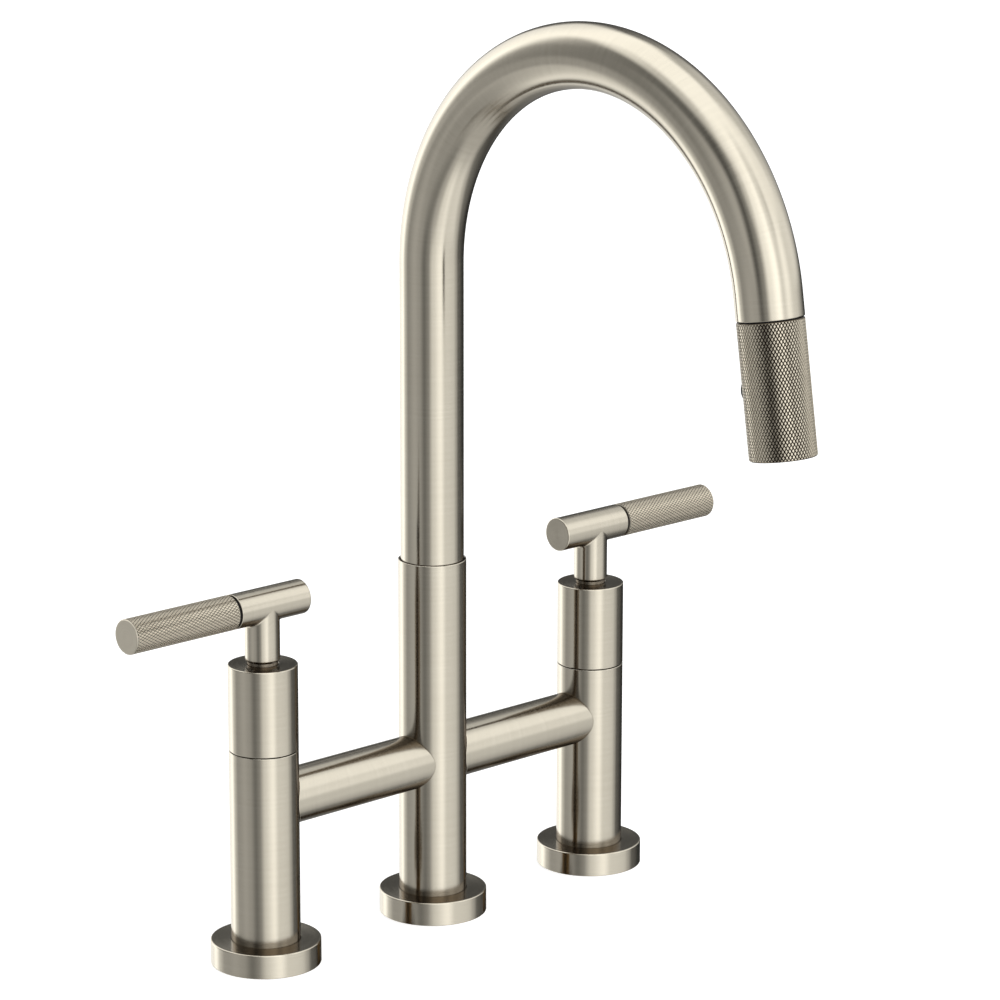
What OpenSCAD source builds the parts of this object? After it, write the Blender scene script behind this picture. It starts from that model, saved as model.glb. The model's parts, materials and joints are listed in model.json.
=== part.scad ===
// Deck-mounted bridge kitchen faucet: two lever valves, a bridge, a swivel gooseneck
// and a pull-down spray head on a hose that runs inside the spout.
// The origin is on the centre column's axis at deck level, +Z is up, the user is on -Y,
// the hot side is -X and the cold side is +X.

/* [Deck layout] */
// Distance between the two side posts, centre to centre
post_centers = 203.2; // [190:0.1:216]
// Thickness of the deck that the nuts clamp
deck_thickness = 30; // [12:1:34]

/* [Flanges] */
// Diameter of each deck flange
flange_d = 49.7; // [46:0.1:56]
// Height of each deck flange
flange_h = 11; // [8:0.5:14]

/* [Posts and column] */
// Diameter of the posts, the caps and the centre column
post_d = 31.2; // [31:0.1:33]
// Height of the joint line between a post and its cap
split_z = 99.45; // [98:0.05:101]
// Height of the flat top of each cap
cap_z = 138.8; // [137:0.1:140]
// Height of the centre column's lip
column_z = 168.6; // [165:0.1:175]

/* [Bridge] */
// Diameter of the bridge arms
bridge_d = 25.1; // [22:0.1:27]
// Height of the bridge arms' axis
bridge_z = 74.15; // [72:0.05:75]

/* [Spout] */
// Diameter of the spout tube
tube_d = 28.9; // [28.9:0.1:29.3]
// Height at which the gooseneck starts to bend
rise_z = 305.5; // [240:0.5:340]
// Radius of the gooseneck's centreline
bend_r = 103.3; // [80:0.1:130]
// Angle that the gooseneck turns through
bend_angle = 171.3; // [165:0.1:175]
// Straight length of tube between the bend and the spray head
tip_straight = 10.3; // [10.3:0.1:20]

/* [Spray head] */
// Diameter of the spray head over its knurl
head_d = 28.8; // [28.8:0.1:30]
// Length of the spray head
head_len = 58.5; // [58:0.5:64]
// Distance from the top of the spray head to its button
button_drop = 30; // [29:0.5:31]
// Diameter of the spray button
button_d = 11.2; // [10:0.1:11.6]
// Travel of the spray button
button_travel = 1.6; // [1:0.1:1.8]

/* [Levers] */
// Diameter of the lever's stem
stem_d = 15.6; // [14:0.1:16]
// Diameter of the lever's bar and grip
bar_d = 15.7; // [15:0.1:17]
// Height of the lever bar's axis
bar_z = 165.5; // [164:0.1:168]
// Reach of the bar's plain end, from the post's axis towards the middle
bar_inner = 22.1; // [18:0.1:26]
// Distance from the post's axis to the start of the knurled grip
grip_start = 18.4; // [16:0.1:20]
// Distance from the post's axis to the end of the knurled grip
grip_end = 76.05; // [60:0.05:90]

/* [Hose] */
// Diameter of the spray hose
hose_d = 9.2; // [8:0.1:9.4]

/* [Hidden] */
$fn = 96;

LEFT = -1;
RIGHT = 1;
half_span = post_centers / 2;
post_r = post_d / 2;
flange_r = flange_d / 2;
bridge_r = bridge_d / 2;
tube_r = tube_d / 2;
head_r = head_d / 2;
stem_r = stem_d / 2;
bar_r = bar_d / 2;
hose_r = hose_d / 2;
past = 1;                        // how far a cutter runs past the face that it cuts
fit = 0.05;                      // radial clearance of a running fit
free = 0.3;                      // gap between parts that move past each other

// Deck clamps, all below the deck plane
ledge_h = 3;                     // floor of a flange, on which its post stands
side_shank_r = 12;
center_shank_r = 14;
supply_r = 10.3;                 // male thread for a half-inch supply connection
supply_len = 18;
shank_top_z = 20;
washer_h = 2;
nut_h = 9;
relief_top_z = -46;              // groove between the clamp thread and the supply thread
relief_h = 2;
supply_end_z = relief_top_z - relief_h - supply_len;
center_shank_end_z = -56;

// Valves, in a chamber at the top of each post
chamber_r = 11.3;
chamber_z = 56;
waterway_r = 7.5;
body_r = 10.6;                   // cartridge body below its nut
neck_r = 9.65;                   // cartridge body above its nut
gallery_r = 8.3;
gallery_top_z = 80;
disc_r = 8;
fixed_disc_z = 59;
turning_disc_z = 62.55;
drive_z = 66.4;
spindle_r = 4.6;
spline_r = 3.95;

// Bridge ends, which plug into the post and the column
port_r = 9.05;
nipple_r = 9;
arm_bore_r = 6.5;

// Centre column, with a wet chamber below and the spout's bearing above
column_bore_r = 12.8;
hose_way_r = 5.2;
manifold_z = 40;
manifold_top_z = 95;
outlet_y = -8.9;
outlet_r = 2.95;
lip_bore_r = 14.85;
lip_floor_z = column_z - 6;
spout_base_z = lip_floor_z + 0.6;
tube_bore_r = tube_r - 1.4;
journal_r = 11.6;                // the part of the spout's shank that turns in the column
screw_z = 112;
spout_screw_r = 2.45;

// Spray dock and hose end, measured from the end of the spout along its axis
dock_bore_r = 11.95;
plug_r = 11.6;
head_gap = 0.5;                  // visible joint between the spout and the spray head
shell_bore_r = head_r - 1.7;
ferrule_r = 5.6;
ferrule_len = 10;
hose_end_angle = 22;             // stretch of the bend that the hose's loose end takes up
spool_bore_r = 3.6;

nickel = [0.72, 0.68, 0.60];
brass = [0.78, 0.62, 0.36];
steel = [0.70, 0.71, 0.72];
black_rubber = [0.08, 0.08, 0.08];
white_plastic = [0.92, 0.92, 0.90];
grey_plastic = [0.45, 0.46, 0.48];
ceramic_white = [0.95, 0.95, 0.93];
braid_grey = [0.55, 0.56, 0.58];

// ---- Shared shapes ----

// A ring between two heights on the Z axis
module ring(outer_r, inner_r, z0, z1) {
    translate([0, 0, z0]) difference() {
        cylinder(r = outer_r, h = z1 - z0);
        translate([0, 0, -past]) cylinder(r = inner_r, h = z1 - z0 + 2 * past);
    }
}

// A plain rod between two heights on the Z axis
module rod(r, z0, z1) {
    translate([0, 0, z0]) cylinder(r = r, h = z1 - z0);
}

// A rod between two heights with a chamfer at each end
module chamfered_rod(r, z0, z1, low, high) {
    rotate_extrude() polygon([
        [0, z0], [r - low, z0], [r, z0 + low], [r, z1 - high], [r - high, z1], [0, z1],
    ]);
}

// A hexagonal ring, given by its size across the flats
module hex_ring(across_flats, inner_r, z0, z1) {
    translate([0, 0, z0]) difference() {
        cylinder(d = across_flats / cos(30), h = z1 - z0, $fn = 6);
        translate([0, 0, -past]) cylinder(r = inner_r, h = z1 - z0 + 2 * past);
    }
}

// A rubber ring of round section
module o_ring(middle_r, section_r, z) {
    translate([0, 0, z]) rotate_extrude() translate([middle_r, 0]) circle(r = section_r, $fn = 32);
}

// Places a piece on a side post, with its +X away from the middle
module at_side(side) {
    translate([side * half_span, 0, 0]) mirror([side == LEFT ? 1 : 0, 0, 0]) children();
}

// Turns a piece that is drawn along Z so that it lies along X
module along_x() {
    rotate([0, 90, 0]) children();
}

// Turns a piece that is drawn along Z so that it lies along Y
module along_y() {
    rotate([-90, 0, 0]) children();
}

// Places a piece at the end of the spout, with its +Z going back up the tube
module at_dock() {
    translate([0, -bend_r, rise_z]) rotate([bend_angle - 180, 0, 0])
        translate([0, -bend_r, -tip_straight]) children();
}

// A round section swept along the gooseneck between two angles of the bend
module along_bend(from, to) {
    translate([0, -bend_r, rise_z]) rotate([90, 0, 90]) rotate([0, 0, from])
        rotate_extrude(angle = to - from) translate([bend_r, 0]) children();
}

// ---- Deck flanges and clamps ----

module flange(hole_r) {
    rim = 0.6;
    seal_in = flange_r - 4.9;
    seal_out = flange_r - 2.2;
    seal_h = 1.6;
    color(nickel) rotate_extrude() polygon([
        [hole_r, 0], [seal_in, 0], [seal_in, seal_h], [seal_out, seal_h], [seal_out, 0],
        [flange_r - 0.3, 0], [flange_r, 0.3], [flange_r, flange_h - rim], [flange_r - rim, flange_h],
        [post_r + 0.5, flange_h], [post_r + 0.1, flange_h - 0.4], [post_r + 0.1, ledge_h],
        [hole_r, ledge_h],
    ]);
}

module left_flange() at_side(LEFT) flange(side_shank_r + 0.4);
module right_flange() at_side(RIGHT) flange(side_shank_r + 0.4);
module center_flange() flange(center_shank_r + 0.4);

module flange_seals() {
    color(black_rubber) for (x = [-half_span, 0, half_span])
        translate([x, 0, 0]) ring(flange_r - 2.3, flange_r - 4.8, 0, 1.5);
}

module shank(outer_r, bore_r, end_z) {
    tip = 0.8;
    difference() {
        chamfered_rod(outer_r, end_z, shank_top_z, tip, tip);
        rod(bore_r, end_z - past, shank_top_z + past);
    }
}

module side_shank() {
    color(brass) difference() {
        union() {
            chamfered_rod(side_shank_r, relief_top_z, shank_top_z, 0.8, 0.8);
            rod(supply_r - 0.9, relief_top_z - relief_h, relief_top_z);
            chamfered_rod(supply_r, supply_end_z, relief_top_z - relief_h, 0.8, 0);
        }
        rod(waterway_r - 0.5, supply_end_z - past, shank_top_z + past);
    }
}

module left_shank() at_side(LEFT) side_shank();
module right_shank() at_side(RIGHT) side_shank();
module center_shank() color(brass) shank(center_shank_r, center_shank_r - 1.8, center_shank_end_z);

// The radius of the shank at each place in the row of three
function shank_r(x) = x == 0 ? center_shank_r : side_shank_r;

module mounting_washers() {
    color(steel) for (x = [-half_span, 0, half_span]) translate([x, 0, 0])
        ring(25, shank_r(x) + 0.4, -deck_thickness - washer_h, -deck_thickness);
}

module mounting_nuts() {
    color(brass) for (x = [-half_span, 0, half_span]) translate([x, 0, 0])
        hex_ring(2.75 * shank_r(x), shank_r(x) + fit,
                 -deck_thickness - washer_h - nut_h, -deck_thickness - washer_h);
}

// ---- Posts, caps and valves ----

module post() {
    top = split_z - 0.2;
    lip = 0.35;
    color(nickel) difference() {
        chamfered_rod(post_r, ledge_h, top, 0.3, lip);
        rod(side_shank_r + fit, ledge_h - past, shank_top_z);
        rod(waterway_r, ledge_h - past, chamber_z + past);
        rod(chamber_r, chamber_z, top + past);
        translate([0, 0, bridge_z]) along_x() rod(port_r, -post_r - past, 0);
    }
}

module left_post() at_side(LEFT) post();
module right_post() at_side(RIGHT) post();

module bonnet() {
    bottom = split_z + 0.2;
    roof = 4.3;
    color(nickel) difference() {
        chamfered_rod(post_r, bottom, cap_z, 0.35, 0.5);
        rod(13.2, bottom - past, cap_z - roof);
        rod(7.05, bottom, cap_z + past);
    }
}

module left_bonnet() at_side(LEFT) bonnet();
module right_bonnet() at_side(RIGHT) bonnet();

module stem_guides() {
    proud = 1.4;
    color(grey_plastic) for (side = [LEFT, RIGHT]) at_side(side) {
        ring(6.9, spline_r + fit, cap_z - 4.2, cap_z + proud);
    }
}

module cartridge() {
    seat_hole_r = 6;
    window_r = 5;
    groove_z = 83;
    color(brass) difference() {
        union() {
            rod(body_r, chamber_z + 1.5, 88);
            rod(neck_r, 88, 112);
            rod(7, 112, 122);
        }
        rod(seat_hole_r, chamber_z, fixed_disc_z + past);
        rod(gallery_r, fixed_disc_z, gallery_top_z);
        rod(spindle_r + fit, gallery_top_z - past, 122 + past);
        translate([0, 0, bridge_z]) along_x() rod(window_r, -body_r - past, body_r + past);
        ring(body_r + past, 9.7, groove_z, groove_z + 2.2);
    }
}

module left_cartridge() at_side(LEFT) cartridge();
module right_cartridge() at_side(RIGHT) cartridge();

module cartridge_nuts() {
    thread_r = chamber_r - fit;
    seat_z = 88.02;
    head_z = split_z - 0.15;
    color(brass) for (side = [LEFT, RIGHT]) at_side(side) {
        ring(thread_r, neck_r + fit, seat_z, head_z);
        hex_ring(21.8, neck_r + fit, head_z, head_z + 4.6);
    }
}

module cartridge_seals() {
    color(black_rubber) for (side = [LEFT, RIGHT]) at_side(side) {
        ring(body_r, 6.2, chamber_z + 0.02, chamber_z + 1.48);
        o_ring(10.5, 0.74, 84.1);
    }
}

// A ceramic disc with its two water holes on the given axis
module disc(z0, z1, hole_angle) {
    hole_r = 2.4;
    hole_pitch_r = 4.2;
    color(ceramic_white) difference() {
        rod(disc_r, z0, z1);
        rotate([0, 0, hole_angle]) for (x = [-hole_pitch_r, hole_pitch_r])
            translate([x, 0, 0]) rod(hole_r, z0 - past, z1 + past);
    }
}

module fixed_discs() {
    for (side = [LEFT, RIGHT]) at_side(side) disc(fixed_disc_z + 0.01, turning_disc_z - fit, 90);
}

// ---- Bridge ----

// Rubber rings sit in grooves at this distance from the axis that each end plugs into
nipple_seal = 13.4;

module bridge_arm() {
    groove_w = 1.8;
    groove_r = 7.6;
    color(nickel) translate([0, 0, bridge_z]) difference() {
        union() {
            difference() {
                along_x() rod(bridge_r, 0, half_span);
                for (x = [0, half_span]) translate([x, 0, -bridge_r - past])
                    cylinder(r = post_r + 0.03, h = 2 * bridge_r + 2 * past);
            }
            along_x() rod(nipple_r, 11.6, half_span - 11.6);
        }
        along_x() rod(arm_bore_r, 0, half_span);
        for (x = [nipple_seal, half_span - nipple_seal]) translate([x, 0, 0])
            along_x() ring(nipple_r + past, groove_r, -groove_w / 2, groove_w / 2);
    }
}

module left_bridge_arm() mirror([1, 0, 0]) bridge_arm();
module right_bridge_arm() bridge_arm();

module bridge_seals() {
    color(black_rubber) for (side = [LEFT, RIGHT], x = [nipple_seal, half_span - nipple_seal])
        translate([side * x, 0, bridge_z]) along_x() o_ring(8.32, 0.68, 0);
}

// ---- Centre column ----

module center_column() {
    color(nickel) difference() {
        chamfered_rod(post_r, ledge_h, column_z, 0.3, 0.4);
        rod(center_shank_r + fit, ledge_h - past, shank_top_z);
        rod(center_shank_r - 1.8, ledge_h - past, manifold_z + past);
        rod(column_bore_r, manifold_z, column_z);
        rod(lip_bore_r, lip_floor_z, column_z + past);
        translate([0, 0, bridge_z]) along_x() rod(port_r, -post_r - past, post_r + past);
        translate([0, 0, screw_z]) along_y() rod(spout_screw_r + fit, column_bore_r - 2, post_r + past);
    }
}

module column_manifold() {
    plug = column_bore_r - 0.1;
    wall = 0.8;
    color(brass) difference() {
        union() {
            rod(plug, manifold_z + 0.02, manifold_z + 10);
            rod(hose_way_r + wall, manifold_z + 10, manifold_top_z - 8);
            rod(plug, manifold_top_z - 8, manifold_top_z);
        }
        rod(hose_way_r, manifold_z - past, manifold_top_z + past);
        translate([0, outlet_y, 0]) rod(outlet_r + 0.02, manifold_z - past, manifold_z + 10 + past);
    }
}

module mixed_outlet_tube() {
    end_z = -80;
    stop_z = -61;
    color(brass) translate([0, outlet_y, 0]) difference() {
        union() {
            rod(outlet_r, end_z, manifold_z + 8);
            rod(outlet_r + 0.9, stop_z, stop_z + 1.2);
        }
        rod(outlet_r - 0.8, end_z - past, manifold_z + 8 + past);
    }
}

module swivel_bushings() {
    outer = column_bore_r - 0.05;
    inner = journal_r + fit;
    color(white_plastic) {
        ring(outer, inner, 98, 106);
        ring(outer, inner, lip_floor_z - 8, lip_floor_z + 0.05);
        ring(tube_r - 0.1, inner, lip_floor_z + 0.05, spout_base_z - 0.05);
    }
}

// Keeps the spout in the column: its tip runs in a groove of the spout's shank
module spout_set_screw() {
    tip_y = 10.5;
    color(steel) translate([0, 0, screw_z]) along_y() difference() {
        rod(spout_screw_r, tip_y, post_r - 0.3);
        translate([0, 0, post_r - 2.8]) cylinder(r = 1.45, h = 4, $fn = 6);
    }
}

// ---- Spout ----

// A rise, a bend and a short straight tip, which laps the end of the bend
module spout_tube() {
    lap = 0.5;
    step = 0.02;
    color(nickel) union() {
        ring(tube_r, tube_bore_r, spout_base_z, rise_z);
        along_bend(0, bend_angle) difference() {
            circle(r = tube_r);
            circle(r = tube_bore_r);
        }
        at_dock() ring(tube_r + step, tube_bore_r - step, 0, tip_straight + lap);
    }
}

module spout_shank() {
    bottom = manifold_top_z + 2.5;
    bore_r = 8.6;
    color(brass) difference() {
        union() {
            rod(journal_r, bottom, spout_base_z + past);
            rod(tube_bore_r - 0.03, spout_base_z, spout_base_z + 25);
        }
        rod(bore_r, bottom - past, spout_base_z + 26);
        ring(journal_r + past, 10.05, screw_z - 2.9, screw_z + 2.9);
        for (z = [126, 138]) ring(journal_r + past, 10.2, z - 1.5, z + 1.5);
    }
}

module spout_seals() {
    color(black_rubber) for (z = [126, 138]) o_ring(11.48, 1.24, z);
}

module dock_sleeve() {
    web_z = 9.3;
    color(grey_plastic) at_dock() {
        ring(tube_bore_r - 0.05, dock_bore_r, 0.1, web_z);
        ring(tube_bore_r - 0.05, 8.5, web_z, 10.1);
    }
}

module dock_magnet() {
    color(steel) at_dock() ring(dock_bore_r - 0.05, 8.6, 6.3, 9.25);
}

// The hose from below the deck to the last stretch of the bend
module hose_riser() {
    color(braid_grey) union() {
        rod(hose_r, -74, rise_z);
        along_bend(0, bend_angle - hose_end_angle) circle(r = hose_r);
    }
}

// The last stretch of hose, which pays out when the spray head is pulled down
module hose_end() {
    color(braid_grey) along_bend(bend_angle - hose_end_angle, bend_angle) circle(r = hose_r);
}

// Fitting at the hose's lower end, slim enough to pass up the column
module hose_coupling() {
    sleeve_r = hose_way_r - 0.15;
    spigot_r = 4.2;
    color(brass) difference() {
        union() {
            rod(sleeve_r, -92, -74);
            rod(spigot_r, -104, -92);
            rod(spigot_r - 0.8, -106, -104);
            rod(spigot_r, -110, -106);
        }
        rod(2.2, -111, -75);
    }
}

// ---- Spray head, drawn down the -Z axis of the dock ----

module hose_ferrule() {
    color(steel) at_dock() difference() {
        union() {
            rod(ferrule_r, -5.2, ferrule_len);
            rod(7.4, -8, -5.2);
            rod(3.5, -14, -8);
        }
        rod(2, -15, ferrule_len - past);
    }
}

module spray_shell() {
    edge = 0.5;
    color(nickel) at_dock() difference() {
        translate([0, 0, -head_len])
            chamfered_rod(head_r, 0, head_len - head_gap, edge, edge);
        rod(shell_bore_r, -head_len - past, past);
        translate([0, 0, -button_drop]) along_y() rod(button_d / 2 + free, 0, head_r + past);
    }
}

module dock_plug() {
    color(grey_plastic) at_dock() difference() {
        union() {
            rod(shell_bore_r - 0.05, -10, -1.2);
            rod(plug_r, -1.2, 5.2);
        }
        rod(10.6, -11, -3.6);
        rod(6.2, -4, 6);
    }
}

module keeper_ring() {
    color(steel) at_dock() ring(plug_r - 0.2, 7, 5.22, 5.95);
}

// Screws to the spray head and holds the ferrule's collar, so that the head can turn
module hose_nut() {
    color(brass) at_dock() {
        difference() {
            rod(10.5, -9.8, -3.7);
            rod(7.7, -10, -4.9);
            rod(ferrule_r + fit, -5, -3);
        }
    }
}

module spray_core() {
    bottom = -52;
    shoulder = -16;
    color(white_plastic) at_dock() difference() {
        union() {
            rod(shell_bore_r - 0.1, bottom, shoulder);
            rod(7.3, shoulder, -8.3);
        }
        rod(3.5 + fit, -15, -8);
        rod(3.5, -button_drop, -15.5);
        rod(2, -16, -14);
        translate([0, 0, -button_drop]) along_y() {
            rod(spool_bore_r, -9, 8);
            rod(button_d / 2 + free, 7.2, head_r);
        }
        rod(4.9, bottom - past, -40);
        rod(2.2, -41, -button_drop);
        for (a = [45 : 90 : 315]) rotate([0, 0, a]) translate([8.6, 0, 0])
            rod(1.5, bottom - past, -38);
    }
}

module check_valve() {
    color(white_plastic) at_dock() ring(3.4, 1.8, -24, -16);
}

module spray_face() {
    color(grey_plastic) at_dock() difference() {
        rod(shell_bore_r - 0.05, -head_len + 0.7, -head_len + 3.5);
        rod(5.2, -head_len, -head_len + 4);
        nozzle_places() rod(0.85, -head_len, -head_len + 4);
    }
}

// Two rings of nozzles around the aerator
module nozzle_places() {
    for (row = [[7.2, 12], [10.2, 18]], i = [0 : row[1] - 1])
        rotate([0, 0, i * 360 / row[1]]) translate([row[0], 0, 0]) children();
}

module spray_nozzles() {
    top = -head_len + 4.6;
    plate = -head_len + 3.52;
    color(grey_plastic) at_dock() difference() {
        union() {
            ring(shell_bore_r - 0.1, 5.3, plate, top);
            nozzle_places() rod(0.8, -head_len + 0.1, plate + 0.1);
        }
        nozzle_places() rod(0.35, -head_len, top + past);
    }
}

module aerator() {
    web = 0.5;
    color(black_rubber) at_dock() {
        difference() {
            rod(4.85, -head_len + 0.9, -head_len + 6.9);
            rod(4.1, -head_len, -head_len + 8);
        }
        for (a = [0, 60, 120]) rotate([0, 0, a])
            translate([-4.2, -web / 2, -head_len + 1.6]) cube([8.4, web, 3]);
    }
}

// Three turns of a conical spring, drawn as closed rings that nest when it is pressed flat
module button_spring() {
    wire_r = 0.3;
    color(steel) at_dock() translate([0, 0, -button_drop]) along_y()
        for (turn = [0 : 2]) o_ring(4.7 - 0.8 * turn, wire_r, 7.55 + 0.8 * turn);
}

module spray_button() {
    r = button_d / 2;
    skirt_y = 9.5;
    crown_y = head_r + button_travel + free;
    shoulder_y = crown_y - 1;
    dome_r = (r * r + pow(crown_y - shoulder_y, 2)) / (2 * (crown_y - shoulder_y));
    color(black_rubber) at_dock() translate([0, 0, -button_drop]) along_y() intersection() {
        rod(r, skirt_y, crown_y);
        translate([0, 0, crown_y - dome_r]) sphere(r = dome_r);
    }
}

module diverter_spool() {
    land_r = spool_bore_r - fit;
    color(white_plastic) at_dock() translate([0, 0, -button_drop]) along_y() {
        difference() {
            rod(land_r, -6, 6);
            ring(land_r + past, 1.9, -3.5, -0.5);
            ring(land_r + past, 1.9, 1.5, 4.5);
        }
        rod(2.4, 6, 9.48);
    }
}

// ---- Levers ----

// Stem, bar and the stud that carries the grip, in one turned and brazed piece
module lever_hub() {
    stem_z = cap_z + 2.2;
    groove = 0.75;
    color(nickel) difference() {
        union() {
            chamfered_rod(stem_r, stem_z, bar_z, 0.5, 0);
            translate([0, 0, bar_z]) along_x() {
                chamfered_rod(bar_r, -bar_inner, grip_start - groove, 0.45, 0.2);
                rod(3, grip_start - groove - past, grip_start + 22);
            }
        }
        rod(spline_r + 0.02, stem_z - past, stem_z + 16);
        translate([0, 0, stem_z + 6]) along_y() rod(1.65, 0, stem_r + past);
    }
}

module gap_ring() {
    color(black_rubber) translate([0, 0, bar_z]) along_x()
        ring(bar_r - 0.7, 3.03, grip_start - 0.74, grip_start - 0.01);
}

module grip() {
    color(nickel) translate([0, 0, bar_z]) along_x() difference() {
        chamfered_rod(bar_r, grip_start, grip_end, 0.2, 0.45);
        rod(3.03, grip_start - past, grip_start + 23);
    }
}

module valve_stem() {
    tang_w = 3;
    color(brass) {
        translate([-tang_w / 2, -7.4, drive_z + 0.02]) cube([tang_w, 14.8, 3]);
        rod(spindle_r, drive_z + 3.02, 121.5);
        rod(spline_r, 121.5, cap_z + 17.5);
    }
}

module turning_disc() {
    disc(turning_disc_z, drive_z, 0);
}

module lever_screw() {
    color(steel) translate([0, 0, cap_z + 8.2]) along_y() difference() {
        rod(1.6, 4.05, stem_r - 0.5);
        translate([0, 0, stem_r - 2.2]) cylinder(r = 0.95, h = 3, $fn = 6);
    }
}

module left_lever_hub() at_side(LEFT) lever_hub();
module left_grip() at_side(LEFT) grip();
module left_gap_ring() at_side(LEFT) gap_ring();
module left_valve_stem() at_side(LEFT) valve_stem();
module left_turning_disc() at_side(LEFT) turning_disc();
module left_lever_screw() at_side(LEFT) lever_screw();
module right_lever_hub() at_side(RIGHT) lever_hub();
module right_grip() at_side(RIGHT) grip();
module right_gap_ring() at_side(RIGHT) gap_ring();
module right_valve_stem() at_side(RIGHT) valve_stem();
module right_turning_disc() at_side(RIGHT) turning_disc();
module right_lever_screw() at_side(RIGHT) lever_screw();

left_flange();
right_flange();
center_flange();
flange_seals();
left_post();
right_post();
center_column();
left_bridge_arm();
right_bridge_arm();
bridge_seals();
left_bonnet();
right_bonnet();
stem_guides();
left_cartridge();
right_cartridge();
cartridge_nuts();
cartridge_seals();
fixed_discs();
left_shank();
right_shank();
center_shank();
mounting_washers();
mounting_nuts();
column_manifold();
mixed_outlet_tube();
swivel_bushings();
spout_set_screw();
spout_tube();
spout_shank();
spout_seals();
dock_sleeve();
dock_magnet();
hose_riser();
hose_coupling();
hose_end();
hose_ferrule();
spray_shell();
dock_plug();
keeper_ring();
hose_nut();
spray_core();
check_valve();
spray_face();
spray_nozzles();
aerator();
button_spring();
spray_button();
diverter_spool();
left_lever_hub();
left_grip();
left_gap_ring();
left_valve_stem();
left_turning_disc();
left_lever_screw();
right_lever_hub();
right_grip();
right_gap_ring();
right_valve_stem();
right_turning_disc();
right_lever_screw();
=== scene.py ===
"""Looks of a deck-mounted bridge faucet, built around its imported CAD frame.

Everything is in metres in the CAD frame: the origin is on the centre column's axis at
deck level, +Z is up and the user is on -Y. Sizes come from the CAD nodes' own boxes where
a box gives them.
"""

import json
import math

import bpy
import numpy as np
from mathutils import Matrix, Vector


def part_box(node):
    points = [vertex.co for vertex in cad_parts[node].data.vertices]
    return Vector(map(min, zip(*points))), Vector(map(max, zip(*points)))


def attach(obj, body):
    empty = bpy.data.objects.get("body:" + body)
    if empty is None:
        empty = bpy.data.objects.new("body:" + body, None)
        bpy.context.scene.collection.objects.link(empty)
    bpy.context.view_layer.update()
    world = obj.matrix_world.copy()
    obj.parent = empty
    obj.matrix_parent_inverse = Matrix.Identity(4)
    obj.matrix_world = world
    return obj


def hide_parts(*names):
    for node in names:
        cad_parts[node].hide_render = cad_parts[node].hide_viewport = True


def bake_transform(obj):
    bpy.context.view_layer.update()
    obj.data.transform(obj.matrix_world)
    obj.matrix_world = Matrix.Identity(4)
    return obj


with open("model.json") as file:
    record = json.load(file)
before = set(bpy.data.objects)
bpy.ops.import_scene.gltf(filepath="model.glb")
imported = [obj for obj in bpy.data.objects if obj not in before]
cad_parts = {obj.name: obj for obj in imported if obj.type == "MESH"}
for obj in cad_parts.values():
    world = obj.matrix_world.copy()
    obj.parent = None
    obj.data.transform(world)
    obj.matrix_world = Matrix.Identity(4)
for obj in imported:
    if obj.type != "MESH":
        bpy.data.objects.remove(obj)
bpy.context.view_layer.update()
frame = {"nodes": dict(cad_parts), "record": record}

MM = 0.001
TURN = 2 * math.pi


# ---- Camera ----

CAMERA_AZIMUTH = math.radians(-43.459)
CAMERA_ELEVATION = math.radians(14.0185)
CAMERA_ROLL = math.radians(0.1054)
CAMERA_DISTANCE = 1.898154
CAMERA_TARGET = Vector((0.015684, -0.028342, 0.198295))
SENSOR = 36.0
LENS = 151.243


def make_camera():
    level = math.cos(CAMERA_ELEVATION)
    back = Vector((math.sin(CAMERA_AZIMUTH) * level, -math.cos(CAMERA_AZIMUTH) * level,
                   math.sin(CAMERA_ELEVATION)))
    right = Vector((0, 0, 1)).cross(back).normalized()
    up = back.cross(right)
    c, s = math.cos(CAMERA_ROLL), math.sin(CAMERA_ROLL)
    data = bpy.data.cameras.new("camera")
    data.sensor_width, data.lens = SENSOR, LENS
    data.clip_start, data.clip_end = 0.05, 60
    camera = bpy.data.objects.new("camera", data)
    bpy.context.scene.collection.objects.link(camera)
    turn = Matrix((right * c + up * s, up * c - right * s, back)).transposed()
    camera.matrix_world = Matrix.Translation(CAMERA_TARGET + back * CAMERA_DISTANCE) @ turn.to_4x4()
    bpy.context.scene.camera = camera


make_camera()


# ---- Sizes, read from the CAD nodes ----

def reach(node, axis=0):
    """Half of a node's extent along one axis."""
    low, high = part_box(node)
    return (high[axis] - low[axis]) / 2


def low_z(node):
    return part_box(node)[0].z


def high_z(node):
    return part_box(node)[1].z


POST_R = reach("right_post", 1)
COLUMN_R = reach("center_column", 1)
FLANGE_R = reach("center_flange", 1)
FLANGE_H = high_z("center_flange")
BRIDGE_R = reach("right_bridge_arm", 1)
BRIDGE_Z = (low_z("right_bridge_arm") + high_z("right_bridge_arm")) / 2
TUBE_R = reach("spout_tube", 0)
SPAN = (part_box("right_post")[0].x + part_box("right_post")[1].x) / 2
LEDGE_Z = low_z("right_post")
POST_TOP = high_z("right_post")
CAP_LOW, CAP_TOP = low_z("right_bonnet"), high_z("right_bonnet")
COLUMN_TOP = high_z("center_column")
STEM_LOW = low_z("right_lever_hub")
STEM_R = 7.8 * MM
BAR_R = reach("right_grip", 1)
BAR_Z = (low_z("right_grip") + high_z("right_grip")) / 2
BAR_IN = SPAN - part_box("right_lever_hub")[0].x
GRIP_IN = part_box("right_grip")[0].x - SPAN
GRIP_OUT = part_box("right_grip")[1].x - SPAN
# The joint ring's groove, drawn a little wider than the CAD ring so that its dark line shows
GAP_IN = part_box("right_gap_ring")[0].x - SPAN - 0.3 * MM
GAP_OUT = GRIP_IN + 0.25 * MM

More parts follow.
